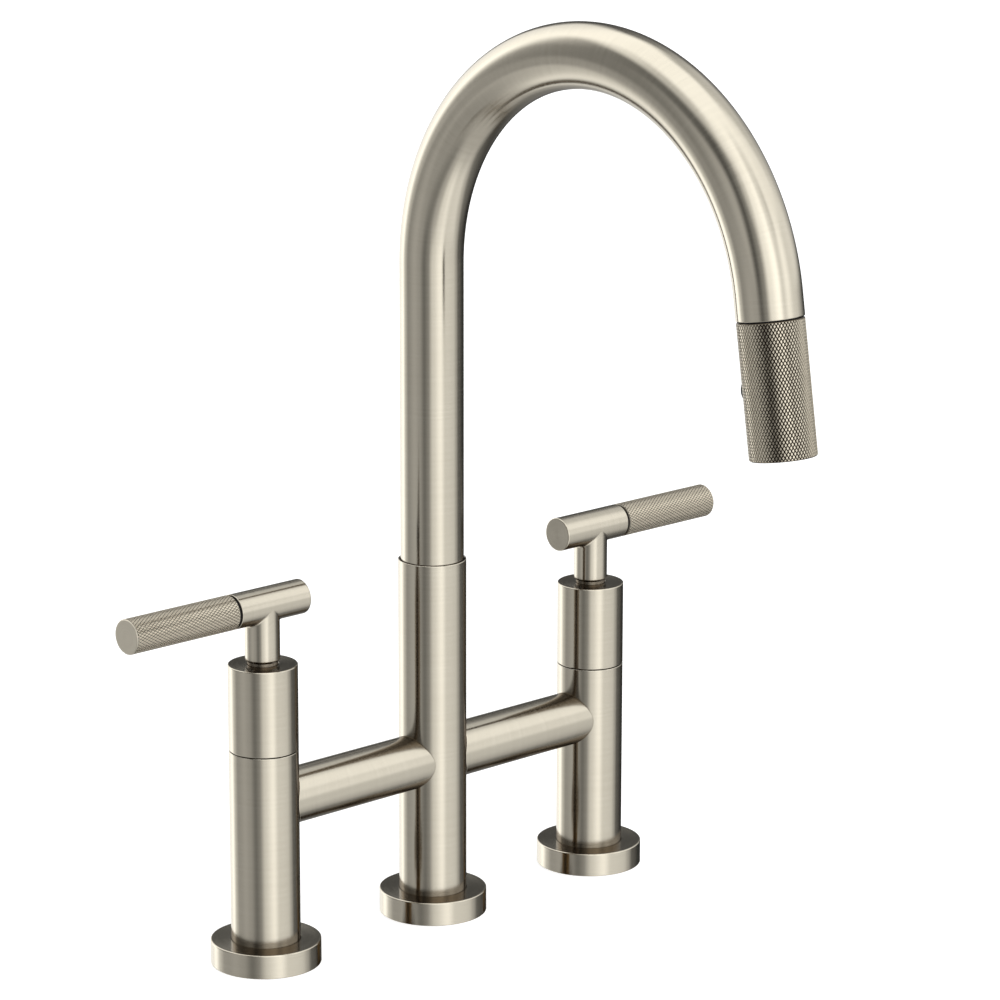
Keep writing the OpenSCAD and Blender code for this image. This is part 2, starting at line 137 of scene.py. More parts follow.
# Insides of the turned parts
CHAMBER_R, CHAMBER_Z = 11.3 * MM, 56 * MM
WATERWAY_R = 7.5 * MM
CAP_BORE_R, CAP_ROOF = 13.2 * MM, 4.3 * MM
STEM_HOLE_R = 7.05 * MM
LIP_R, LIP_DEPTH = 14.85 * MM, 6 * MM
COLUMN_BORE_R, COLUMN_FOOT_R, COLUMN_FOOT_Z = 12.8 * MM, 12.2 * MM, 40 * MM
NIPPLE_R, NIPPLE_BORE_R, NIPPLE_END = 9 * MM, 6.5 * MM, 11.6 * MM
TUBE_WALL = 1.4 * MM

# The spout's line: a rise, a bend in the YZ plane and a short straight tip
BEND_R = 103.3 * MM
BEND = math.radians(171.3)
RISE_Z = 305.5 * MM
TIP = 10.3 * MM
TUBE_LOW = low_z("spout_tube")
HEAD_R = reach("spray_shell", 0)
HEAD_LEN = 58.5 * MM
HEAD_GAP = 0.5 * MM
BUTTON_DROP = 30 * MM
BUTTON_R = 5.6 * MM

# The end of the spout, with +Z going back up the tube and +Y towards the column
DOCK = (Matrix.Translation((0, -BEND_R, RISE_Z)) @ Matrix.Rotation(BEND - math.pi, 4, "X")
        @ Matrix.Translation((0, -BEND_R, -TIP)))
BUTTON = DOCK @ Matrix.Translation((0, 0, -BUTTON_DROP)) @ Matrix.Rotation(-math.pi / 2, 4, "X")


# ---- Materials ----

# Painted shade: how much is left of a metal's colour where it is seen in a reflection
REFLECTION_SHADE = (0.17, 0.145, 0.125)


class Nodes:
    """A short way to write a material's node tree."""

    def __init__(self, name):
        self.material = bpy.data.materials.new(name)
        self.material.use_nodes = True
        self.tree = self.material.node_tree
        self.tree.nodes.clear()
        self.shader = self.add("ShaderNodeBsdfPrincipled")
        out = self.add("ShaderNodeOutputMaterial")
        self.link(self.shader.outputs[0], out.inputs["Surface"])

    def add(self, kind, **settings):
        node = self.tree.nodes.new(kind)
        for key, value in settings.items():
            setattr(node, key, value)
        return node

    def link(self, a, b):
        self.tree.links.new(a, b)

    def set(self, **values):
        for key, value in values.items():
            self.shader.inputs[key.replace("_", " ")].default_value = value

    def grain(self):
        """The coordinates along which a piece was turned: around it, and along its profile."""
        return self.add("ShaderNodeAttribute", attribute_name="grain").outputs["Vector"]

    def place(self):
        return self.add("ShaderNodeTexCoord").outputs["Object"]

    def noise(self, where, scale, stretch=(1, 1, 1), detail=3.0, rough=0.6):
        mapping = self.add("ShaderNodeMapping")
        mapping.inputs["Scale"].default_value = [scale * s for s in stretch]
        self.link(where, mapping.inputs["Vector"])
        noise = self.add("ShaderNodeTexNoise", noise_dimensions="3D")
        noise.inputs["Scale"].default_value = 1
        noise.inputs["Detail"].default_value = detail
        noise.inputs["Roughness"].default_value = rough
        self.link(mapping.outputs[0], noise.inputs["Vector"])
        return noise.outputs["Fac"]

    def ramp(self, factor, low, high, start=0.0, end=1.0):
        """Spreads a factor between two numbers."""
        node = self.add("ShaderNodeMapRange")
        for key, value in (("From Min", start), ("From Max", end), ("To Min", low), ("To Max", high)):
            node.inputs[key].default_value = value
        self.link(factor, node.inputs["Value"])
        return node.outputs["Result"]

    def tones(self, factor, dark, light, start=0.3, end=0.7):
        """Spreads a factor between two colours."""
        node = self.add("ShaderNodeValToRGB")
        first, last = node.color_ramp.elements
        first.position, last.position = start, end
        first.color, last.color = (*dark, 1), (*light, 1)
        self.link(factor, node.inputs["Fac"])
        return node.outputs["Color"]

    def math(self, operation, a, b):
        node = self.add("ShaderNodeMath", operation=operation)
        for socket, value in zip(node.inputs, (a, b)):
            if isinstance(value, (int, float)):
                socket.default_value = value
            else:
                self.link(value, socket)
        return node.outputs[0]

    def bump(self, height, depth, strength=1.0):
        node = self.add("ShaderNodeBump")
        node.inputs["Strength"].default_value = strength
        node.inputs["Distance"].default_value = depth
        self.link(height, node.inputs["Height"])
        self.link(node.outputs[0], self.shader.inputs["Normal"])

    def colour_with_reflection_shade(self, colour):
        """Gives a metal its colour, with painted shade that makes it dim and a little browner where it is
        seen in a reflection.
        """
        mix = self.add("ShaderNodeMix", data_type="RGBA", blend_type="MULTIPLY")
        # Painted shade: the colour is multiplied down wherever a glossy ray sees the metal
        self.link(self.add("ShaderNodeLightPath").outputs["Is Glossy Ray"], mix.inputs["Factor"])
        self.link(colour, mix.inputs["A"])
        mix.inputs["B"].default_value = (*REFLECTION_SHADE, 1)
        self.link(mix.outputs["Result"], self.shader.inputs["Base Color"])
        self.set(Metallic=1.0)

    def along(self):
        """Lays the gloss across the grain, so that it is drawn out along the piece."""
        node = self.add("ShaderNodeTangent", direction_type="UV_MAP", uv_map="turned")
        self.link(node.outputs[0], self.shader.inputs["Tangent"])


def brushed_nickel(name, rough=0.17, gloss=0.75):
    """Satin nickel plate with fine brushing around each turned piece."""
    m = Nodes(name)
    where = m.grain()
    fine = m.noise(where, 1, (60, 60, 3800), 3, 0.6)
    broad = m.noise(where, 1, (22, 22, 900), 2, 0.5)
    tint = m.noise(where, 1, (30, 30, 30), 2, 0.5)
    streaks = m.math("ADD", m.math("MULTIPLY", fine, 0.6), m.math("MULTIPLY", broad, 0.4))
    shade = m.math("ADD", m.math("MULTIPLY", streaks, 0.75), m.math("MULTIPLY", tint, 0.25))
    m.colour_with_reflection_shade(m.tones(shade, (0.755, 0.697, 0.572), (0.835, 0.777, 0.648)))
    m.link(m.ramp(streaks, rough - 0.03, rough + 0.03, 0.3, 0.7), m.shader.inputs["Roughness"])
    m.bump(streaks, 0.0004 * MM)
    m.along()
    m.set(Anisotropic=gloss, Anisotropic_Rotation=0.25)
    return m.material


def knurled_nickel(name, groove_shade=(0.10, 0.078, 0.051)):
    """Nickel over a diamond knurl, with painted shade that darkens it from the flats down into the grooves.
    """
    m = Nodes(name)
    where = m.place()
    spots = m.noise(where, 900, detail=2)
    patch = m.noise(where, 120, detail=2)
    # Painted shade: the knurl's height, 0 on the groove floor and 1 on the flats, blends the colour down to
    # the groove shade
    depth = m.add("ShaderNodeAttribute", attribute_name="height").outputs["Fac"]
    shade = m.math("MULTIPLY", depth, m.ramp(spots, 0.85, 1.0, 0.3, 0.7))
    m.colour_with_reflection_shade(m.tones(shade, groove_shade, (0.79, 0.72, 0.58), 0.15, 0.95))
    m.link(m.ramp(patch, 0.18, 0.26, 0.3, 0.7), m.shader.inputs["Roughness"])
    m.bump(spots, 0.003 * MM)
    return m.material


def turned_metal(name, dark, light, rough):
    """Machined metal with fine tool marks along Z, and a little tarnish."""
    m = Nodes(name)
    where = m.place()
    marks = m.noise(where, 1, (60, 60, 1700), 3)
    tarnish = m.noise(where, 140, detail=4)
    shade = m.math("ADD", m.math("MULTIPLY", marks, 0.5), m.math("MULTIPLY", tarnish, 0.5))
    m.colour_with_reflection_shade(m.tones(shade, dark, light))
    m.link(m.ramp(tarnish, rough - 0.06, rough + 0.09, 0.3, 0.7), m.shader.inputs["Roughness"])
    m.bump(marks, 0.006 * MM)
    return m.material


def moulded(name, dark, light, rough, texture, depth, shine=0.5):
    """Moulded plastic or rubber with a fine spark-eroded skin."""
    m = Nodes(name)
    where = m.place()
    skin = m.noise(where, texture, detail=3)
    drift = m.noise(where, 150, detail=2)
    m.link(m.tones(m.math("ADD", m.math("MULTIPLY", skin, 0.6), m.math("MULTIPLY", drift, 0.4)),
                   dark, light), m.shader.inputs["Base Color"])
    m.link(m.ramp(drift, rough - 0.05, rough + 0.07, 0.3, 0.7), m.shader.inputs["Roughness"])
    m.bump(skin, depth * MM)
    m.set(Specular_IOR_Level=shine)
    return m.material


def braided(name):
    """Fine braided sleeve: two families of strands that cross on the slant."""
    m = Nodes(name)
    split = m.add("ShaderNodeSeparateXYZ")
    m.link(m.add("ShaderNodeAttribute", attribute_name="strand").outputs["Vector"], split.inputs[0])
    around, length = split.outputs[0], split.outputs[1]

    def strands(sign):
        slant = m.math("ADD", around, m.math("MULTIPLY", length, sign))
        return m.math("SINE", m.math("MULTIPLY", slant, TURN), 0)

    one, other = strands(1), strands(-1)
    weave = m.math("MAXIMUM", one, other)
    fuzz = m.noise(m.place(), 2600, detail=2)
    shade = m.math("ADD", m.math("MULTIPLY", weave, 0.35), m.math("MULTIPLY", fuzz, 0.6))
    m.link(m.tones(shade, (0.035, 0.036, 0.040), (0.19, 0.195, 0.205), 0.1, 0.75),
           m.shader.inputs["Base Color"])
    m.bump(weave, 0.12 * MM)
    m.link(m.ramp(fuzz, 0.42, 0.62, 0.3, 0.7), m.shader.inputs["Roughness"])
    m.set(Sheen_Weight=0.25)
    return m.material


NICKEL = brushed_nickel("satin_nickel")
DISC_NICKEL = brushed_nickel("satin_nickel_disc", rough=0.32, gloss=0.3)
KNURL = knurled_nickel("knurled_nickel_plate")
# The grip's grooves get a lighter painted shade than the spray head's
GRIP_KNURL = knurled_nickel("knurled_nickel_grip", groove_shade=(0.34, 0.30, 0.24))
BRASS = turned_metal("turned_brass", (0.60, 0.42, 0.17), (0.78, 0.58, 0.29), 0.28)
STEEL = turned_metal("stainless_steel", (0.50, 0.50, 0.49), (0.66, 0.66, 0.65), 0.26)
COLLAR = turned_metal("satin_collar", (0.52, 0.47, 0.38), (0.68, 0.62, 0.51), 0.24)
RUBBER = moulded("black_moulded_rubber", (0.012, 0.012, 0.012), (0.030, 0.029, 0.028), 0.55, 2400, 0.012,
                 shine=0.15)
WHITE = moulded("white_acetal", (0.74, 0.74, 0.71), (0.86, 0.86, 0.83), 0.38, 1500, 0.006)
GREY = moulded("grey_moulding", (0.055, 0.055, 0.058), (0.095, 0.095, 0.100), 0.42, 1700, 0.008)
CERAMIC = moulded("alumina_ceramic", (0.80, 0.80, 0.76), (0.90, 0.90, 0.87), 0.18, 3200, 0.002)
BRAID = braided("hose_braid")
FINISH = {
    "brushed_nickel": NICKEL, "knurled_nickel": KNURL, "brass": BRASS, "stainless": STEEL,
    "black_rubber": RUBBER, "ceramic": CERAMIC, "white_plastic": WHITE, "grey_plastic": GREY,
    "braid": BRAID,
}


# ---- Mesh building ----

class Shape:
    """Quads and loose faces gathered into one mesh, with its grain and its turned UV map."""

    def __init__(self):
        self.points, self.faces, self.uvs = [], [], []
        self.grain, self.height, self.smooth, self.material = [], [], [], []
        self.count = 0

    def _take(self, points, faces, uvs, grain, height, smooth, material):
        self.points.append(points)
        self.faces.extend([[i + self.count for i in face] for face in faces])
        self.uvs.extend(uvs)
        self.grain.append(grain)
        self.height.append(height)
        self.smooth.extend([smooth] * len(faces))
        self.material.extend([material] * len(faces))
        self.count += len(points)

    def grid(self, rings, radius, closed=False, smooth=True, material=0):
        """rings is rows x columns x 3. Columns close on themselves, and rows do if closed."""
        rows, cols = rings.shape[:2]
        steps = np.linalg.norm(np.diff(rings, axis=0), axis=2).mean(1)
        run = np.concatenate([[0], np.cumsum(steps)])
        angle = np.arange(cols) / cols * TURN
        grain = np.stack(np.broadcast_arrays(radius * np.cos(angle)[None], radius * np.sin(angle)[None],
                                             run[:, None]), -1).reshape(-1, 3)
        faces, uvs = [], []
        last = rows if closed else rows - 1
        for i in range(last):
            k = (i + 1) % rows
            low, high = run[i], (run[k] if k else run[i] + 0.001)
            for j in range(cols):
                n = (j + 1) % cols
                faces.append([i * cols + j, i * cols + n, k * cols + n, k * cols + j])
                a, b = j / cols * radius * TURN, (j + 1) / cols * radius * TURN
                uvs.append([(a, low), (b, low), (b, high), (a, high)])
        self._take(rings.reshape(-1, 3), faces, uvs, grain, np.ones(rows * cols), smooth, material)

    def lathe(self, profile, sides=160, closed=True, smooth=True, material=0):
        """Turns (radius, z) points about the Z axis."""
        profile = np.array(profile, float)
        angle = np.arange(sides) / sides * TURN
        r, z = profile[:, :1], profile[:, 1:]
        rings = np.stack([r * np.cos(angle), r * np.sin(angle), z + 0 * angle], -1)
        self.grid(rings, float(r.max()), closed, smooth, material)

    def loose(self, points, faces, height, radius, smooth=False, material=0):
        points = np.array(points, float)
        angle = np.arctan2(points[:, 1], points[:, 0])
        grain = np.stack([radius * np.cos(angle), radius * np.sin(angle), points[:, 2]], -1)
        uvs = [[(angle[i] * radius, points[i, 2]) for i in face] for face in faces]
        self._take(points, faces, uvs, grain, np.array(height, float), smooth, material)

    def build(self, name, body, materials, stands_for=(), place=None, mirror=False):
        """Makes the object, puts it in place and hangs it on its body."""
        points = np.concatenate(self.points)
        if place is not None:
            m = np.array(place)
            points = points @ m[:3, :3].T + m[:3, 3]
        faces, uvs = self.faces, self.uvs
        if mirror:
            points = points * (-1, 1, 1)
            faces = [face[::-1] for face in faces]
            uvs = [uv[::-1] for uv in uvs]
        mesh = bpy.data.meshes.new(name)
        mesh.from_pydata(points.tolist(), [], faces)
        layer = mesh.uv_layers.new(name="turned")
        layer.data.foreach_set("uv", np.array([p for uv in uvs for p in uv], np.float32).ravel())
        mesh.attributes.new("grain", "FLOAT_VECTOR", "POINT").data.foreach_set(
            "vector", np.concatenate(self.grain).astype(np.float32).ravel())
        mesh.attributes.new("height", "FLOAT", "POINT").data.foreach_set(
            "value", np.concatenate(self.height).astype(np.float32))
        mesh.polygons.foreach_set("use_smooth", self.smooth)
        for material in materials:
            mesh.materials.append(material)
        mesh.polygons.foreach_set("material_index", self.material)
        mesh.update()
        piece = bpy.data.objects.new(name, mesh)
        bpy.context.scene.collection.objects.link(piece)
        if body:
            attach(piece, body)
        if stands_for:
            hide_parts(*stands_for)
        return piece


def rounded(corners, closed=True, steps=5):
    """A profile from (r, z, rounding) corners. A short step beside each corner keeps the
    shading of the long faces clean."""
    made = []
    count = len(corners)
    for i, (r, z, rounding) in enumerate(corners):
        here = np.array((r, z), float)
        if not closed and i in (0, count - 1):
            made.append(here)
            continue
        before = np.array(corners[i - 1][:2], float) - here
        after = np.array(corners[(i + 1) % count][:2], float) - here
        len_a, len_b = np.linalg.norm(before), np.linalg.norm(after)
        before, after = before / len_a, after / len_b
        half = math.acos(max(-1, min(1, float(before @ after)))) / 2
        cut = min(rounding / math.tan(half), 0.45 * len_a, 0.45 * len_b)
        size = cut * math.tan(half)
        guard_a = cut + min(0.25 * MM, 0.3 * (len_a - cut))
        guard_b = cut + min(0.25 * MM, 0.3 * (len_b - cut))
        made.append(here + before * guard_a)
        if size < 1e-7:
            made.append(here)
        else:
            middle = here + (before + after) / np.linalg.norm(before + after) * (size / math.sin(half))
            start, end = here + before * cut - middle, here + after * cut - middle
            sweep = math.atan2(start[0] * end[1] - start[1] * end[0], float(start @ end))
            for k in range(steps + 1):
                a = sweep * k / steps
                c, s = math.cos(a), math.sin(a)
                made.append(middle + np.array((start[0] * c - start[1] * s, start[0] * s + start[1] * c)))
        made.append(here + after * guard_b)
    return made


def capped(corners, steps=5):
    """A rounded profile that starts and ends on the axis."""
    return rounded(corners, closed=False, steps=steps)


# ---- Flanges, posts, caps and column ----

def make_flange(node, x):
    seal_in, seal_out, seal_depth = FLANGE_R - 4.9 * MM, FLANGE_R - 2.2 * MM, 1.6 * MM
    hole = POST_R + 0.1 * MM
    ledge = hole - 3 * MM
    shape = Shape()
    shape.lathe(rounded([
        (hole, LEDGE_Z, 0), (ledge, LEDGE_Z, 0), (ledge, 0, 0),
        (seal_in, 0, 0), (seal_in, seal_depth, 0), (seal_out, seal_depth, 0), (seal_out, 0, 0),
        (FLANGE_R, 0, 0.3 * MM), (FLANGE_R, FLANGE_H, 0.55 * MM), (hole, FLANGE_H, 0.2 * MM),
    ]), sides=192)
    shape.build(node + "_turned", "deck_body", [NICKEL], [node],
                Matrix.Translation((x, 0, 0)))


def make_post(node, x):
    """A post, with a waterway below and a wider chamber for the valve above."""
    shape = Shape()
    shape.lathe(rounded([
        (POST_R, LEDGE_Z, 0.2 * MM), (POST_R, POST_TOP, 0.3 * MM), (CHAMBER_R, POST_TOP, 0),
        (CHAMBER_R, CHAMBER_Z, 0), (WATERWAY_R, CHAMBER_Z, 0), (WATERWAY_R, LEDGE_Z, 0),
    ]), sides=160)
    shape.build(node + "_turned", "deck_body", [NICKEL], [node],
                Matrix.Translation((x, 0, 0)))


def make_cap(node, x):
    roof = CAP_TOP - CAP_ROOF
    shape = Shape()
    shape.lathe(rounded([
        (POST_R, CAP_LOW, 0.3 * MM), (POST_R, CAP_TOP, 0.5 * MM), (STEM_HOLE_R, CAP_TOP, 0.25 * MM),
        (STEM_HOLE_R, roof, 0), (CAP_BORE_R, roof, 0), (CAP_BORE_R, CAP_LOW, 0),
    ]), sides=160)
    shape.build(node + "_turned", "deck_body", [NICKEL], [node],
                Matrix.Translation((x, 0, 0)))


def make_column():
    """The centre column, with a lip around the spout."""
    lip_low = COLUMN_TOP - LIP_DEPTH
    shape = Shape()
    shape.lathe(rounded([
        (COLUMN_R, LEDGE_Z, 0.2 * MM), (COLUMN_R, COLUMN_TOP, 0.4 * MM), (LIP_R, COLUMN_TOP, 0.2 * MM),
        (LIP_R, lip_low, 0), (COLUMN_BORE_R, lip_low, 0), (COLUMN_BORE_R, COLUMN_FOOT_Z, 0),
        (COLUMN_FOOT_R, COLUMN_FOOT_Z, 0), (COLUMN_FOOT_R, LEDGE_Z, 0),
    ]), sides=160)
    shape.build("center_column_turned", "deck_body", [NICKEL], ["center_column"])


for side, x in (("left", -SPAN), ("right", SPAN)):
    make_flange(side + "_flange", x)
    make_post(side + "_post", x)
make_flange("center_flange", 0)
make_cap("left_bonnet", -SPAN)
make_cap("right_bonnet", SPAN)
make_column()


# ---- Bridge arms: each end is cut to the round post that it meets ----

def make_arm(node, mirror):
    edge = 0.45 * MM
    guard = edge + 0.25 * MM
    sides = 192
    angle = np.arange(sides) / sides * TURN

    def ring(radius, start, from_far, offset):
        """A ring at an offset from the saddle of one post, or flat if offset is None."""
        y, z = radius * np.cos(angle), radius * np.sin(angle)
        if offset is None:
            x = np.full(sides, start)
        else:
            x = np.sqrt((POST_R + 0.03 * MM) ** 2 - y * y) + offset
        if from_far:
            x = SPAN - x
        return np.stack([x, y, z + BRIDGE_Z], -1)

    def rim(far):
        """The arm's rounded edge, from its side to the face that meets the post."""
        made = []
        for k in range(6):
            a = k / 5 * math.pi / 2
            made.append(ring(BRIDGE_R - edge * (1 - math.cos(a)), 0, far, edge * (1 - math.sin(a))))
        return made

    def nipple(far):
        """The narrow spigot inside the post, from its bore to the arm's end face."""
        return [ring(NIPPLE_BORE_R, NIPPLE_END, far, None), ring(NIPPLE_R, NIPPLE_END, far, None),
                ring(NIPPLE_R, 0, far, 0)]

    a, b = ring(BRIDGE_R, 0, False, guard), ring(BRIDGE_R, 0, True, guard)
    near_rows = nipple(False) + rim(False)[::-1] + [a]
    middle = [a + (b - a) * t for t in np.linspace(0, 1, 26)[1:-1]]
    far_rows = [b] + rim(True) + nipple(True)[::-1]
    shape = Shape()
    shape.grid(np.array(near_rows + middle + far_rows), BRIDGE_R, closed=True)
    shape.faces = [face[::-1] for face in shape.faces]
    shape.uvs = [uv[::-1] for uv in shape.uvs]
    shape.build(node + "_turned", "deck_body", [NICKEL], [node], mirror=mirror)


make_arm("left_bridge_arm", True)
make_arm("right_bridge_arm", False)


# ---- Spout ----

RISE = RISE_Z - TUBE_LOW
BEND_LEN = BEND * BEND_R


def spout_line(s):
    """The point and direction at a distance along the spout, from its base at zero."""
    if s <= RISE:
        return np.array((0, 0, TUBE_LOW + s)), np.array((0, 0, 1.0))
    a = min((s - RISE) / BEND_R, BEND)
    point = np.array((0, -BEND_R + BEND_R * math.cos(a), RISE_Z + BEND_R * math.sin(a)))
    forward = np.array((0, -math.sin(a), math.cos(a)))
    return point + forward * max(0.0, s - RISE - BEND_LEN), forward


def tube_ring(s, radius, sides):
    point, forward = spout_line(s)
    side = np.array((1.0, 0, 0))
    other = np.cross(forward, side)
    angle = (np.arange(sides) / sides * TURN)[:, None]
    return point + radius * (np.cos(angle) * side + np.sin(angle) * other)


def make_spout():
    length = RISE + BEND_LEN + TIP
    edge = 0.35 * MM
    bore = TUBE_R - TUBE_WALL
    sides = 192
    stops = [0, 0.3 * MM] + list(np.linspace(1 * MM, RISE, 40))
    stops += list(RISE + np.linspace(0, BEND_LEN, 190)[1:])
    stops += [length - 5 * MM, length - 1 * MM, length - edge - 0.2 * MM]
    rows = [tube_ring(s, TUBE_R, sides) for s in stops]
    for k in range(6):
        a = k / 5 * math.pi / 2
        rows.append(tube_ring(length - edge * (1 - math.sin(a)), TUBE_R - edge * (1 - math.cos(a)), sides))
    rows.append(tube_ring(length, TUBE_R - edge - 0.1 * MM, sides))
    rows.append(tube_ring(length, bore + 0.1 * MM, sides))
    rows.append(tube_ring(length, bore, sides))
    rows.append(tube_ring(length - 0.3 * MM, bore, sides))
    rows += [tube_ring(s, bore, sides) for s in
             [length - TIP] + list(RISE + np.linspace(BEND_LEN, 0, 60)[1:]) + [0.5 * MM, 0]]
    shape = Shape()
    shape.grid(np.array(rows), TUBE_R, closed=True)
    shape.build("spout_tube_bent", "spout", [NICKEL], ["spout_tube"])


make_spout()


# ---- Knurling ----

def knurl(shape, radius, depth, around, rows, low, high, flat=0.62, keep=None, material=0):
    """Flat-topped diamonds between two heights on the Z axis, as a cutting wheel leaves them."""
    pitch = (high - low) / rows
    step = TURN / around
    points, faces, height = [], [], []

    def spot(r, a, z):
        points.append((r * math.cos(a), r * math.sin(a), z))
        return len(points) - 1

    floor = radius - depth
    for j in range(2 * rows + 1):
        z = low + j * pitch / 2
        for i in range(around):
            a = (i + (j % 2) / 2) * step
            if keep is not None and not keep(a, z):
                continue
            up, down = min(z + pitch / 2, high), max(z - pitch / 2, low)
            tip_up, tip_down = min(z + flat * pitch / 2, high), max(z - flat * pitch / 2, low)
            base = [spot(floor, a - step / 2, z), spot(floor, a, down),
                    spot(floor, a + step / 2, z), spot(floor, a, up)]
            top = [spot(radius, a - flat * step / 2, z), spot(radius, a, tip_down),
                   spot(radius, a + flat * step / 2, z), spot(radius, a, tip_up)]
            # Height 0 on the groove floor and 1 on the flats, from which the knurl materials paint shade
            # into the grooves
            height.extend([0.0] * 4 + [1.0] * 4)
            faces.append(top)
            for k in range(4):
                n = (k + 1) % 4
                faces.append([base[k], base[n], top[n], top[k]])
    shape.loose(points, faces, height, radius, material=material)


# ---- Levers ----

KNURL_DEPTH = 0.2 * MM
ALONG_X = Matrix.Rotation(math.pi / 2, 4, "Y")


def make_hub(side, body, mirror):
    """A bar on a stem, with the small fillet that the brazing leaves between them."""
    sides = 144
    hub = Shape()
    hub.lathe(capped([
        (0, -BAR_IN, 0), (BAR_R, -BAR_IN, 0.5 * MM), (BAR_R, GAP_IN, 0.25 * MM), (0, GAP_IN, 0),
    ]), sides=sides, closed=False)
    # The bar was turned about Z, and now lies along X
    turn = np.array(ALONG_X)[:3, :3]
    hub.points = [p @ turn.T + (0, 0, BAR_Z) for p in hub.points]

    # The fillet is what a ball leaves that rolls round the stem and touches the bar
    fillet = 1.2 * MM
    angle = np.arange(sides) / sides * TURN
    cosine, sine = np.cos(angle), np.sin(angle)
    reach_y = (STEM_R + fillet) * sine
    drop = np.sqrt(np.maximum((BAR_R + fillet) ** 2 - reach_y ** 2, 0))
    centre = np.stack([(STEM_R + fillet) * cosine, reach_y, -drop], -1)
    from_stem = np.stack([cosine, sine, 0 * sine], -1)
    from_bar = np.stack([0 * sine, reach_y, -drop], -1) / (BAR_R + fillet)

    def stem_ring(radius, z):
        return np.stack([radius * cosine, radius * sine, np.full(sides, z - BAR_Z)], -1)

    edge = 0.35 * MM
    socket = 4 * MM
    rows = [stem_ring(socket, STEM_LOW + socket), stem_ring(socket, STEM_LOW),
            stem_ring(STEM_R - edge - 0.2 * MM, STEM_LOW)]
    for k in range(6):
        a = k / 5 * math.pi / 2
        rows.append(stem_ring(STEM_R - edge * (1 - math.sin(a)), STEM_LOW + edge * (1 - math.cos(a))))
    rows.append(stem_ring(STEM_R, STEM_LOW + edge + 0.2 * MM))
    joint = centre - fillet * from_stem
    start = rows[-1]
    rows += [start + (joint - start) * t for t in np.linspace(0, 1, 16)[1:-1]]
    rows.append(joint - (0, 0, 0.15 * MM))
    for k in range(9):
        t = k / 8
        mix = from_stem * math.cos(t * math.pi / 2) + from_bar * math.sin(t * math.pi / 2)
        rows.append(centre - fillet * mix / np.linalg.norm(mix, axis=1, keepdims=True))
    # The last ring dips just inside the bar
    rows.append(rows[-1] * (0.9, 0.994, 0.994))
    hub.grid(np.array(rows) + (0, 0, BAR_Z), STEM_R)
    hub.build(side + "_lever_hub_turned", body, [NICKEL],
              [side + "_lever_hub"], Matrix.Translation((SPAN, 0, 0)), mirror)


def make_grip(side, body, mirror):
    base = BAR_R - KNURL_DEPTH
    rim = 0.45 * MM
    low, high = GAP_OUT + 0.3 * MM, GRIP_OUT - 0.55 * MM
    shape = Shape()
    shape.lathe(capped([
        (0, GAP_OUT, 0), (BAR_R - rim, GAP_OUT, 0), (BAR_R - 0.05 * MM, low - 0.05 * MM, 0.1 * MM),
        (base, low, 0), (base, high, 0), (BAR_R - 0.05 * MM, high + 0.05 * MM, 0.1 * MM),
        (BAR_R - rim, GRIP_OUT, 0.2 * MM), (0, GRIP_OUT, 0),
    ]), sides=144, closed=False, material=1)
    knurl(shape, BAR_R, KNURL_DEPTH, 35, 24, low, high, flat=0.78)
    shape.build(side + "_grip_knurled", body, [GRIP_KNURL, DISC_NICKEL],
                [side + "_grip"], Matrix.Translation((SPAN, 0, BAR_Z)) @ ALONG_X, mirror)


def make_gap_ring(side, body, mirror):
    low, high = GAP_IN + 0.01 * MM, GAP_OUT - 0.01 * MM
    inner, outer = 3.05 * MM, BAR_R - 0.9 * MM
    shape = Shape()
    shape.lathe(rounded([
        (inner, low, 0), (outer, low, 0.15 * MM), (outer, high, 0.15 * MM), (inner, high, 0),
    ]), sides=96)
    shape.build(side + "_gap_ring_moulded", body, [RUBBER],
                [side + "_gap_ring"], Matrix.Translation((SPAN, 0, BAR_Z)) @ ALONG_X, mirror)


for side, body, mirror in (("left", "hot_lever", True), ("right", "cold_lever", False)):
    make_hub(side, body, mirror)
    make_grip(side, body, mirror)
    make_gap_ring(side, body, mirror)


# ---- Spray head ----

HEAD_DEPTH = 0.32 * MM
BEZEL_IN, BEZEL_OUT = BUTTON_R + 0.3 * MM, BUTTON_R + 1.3 * MM


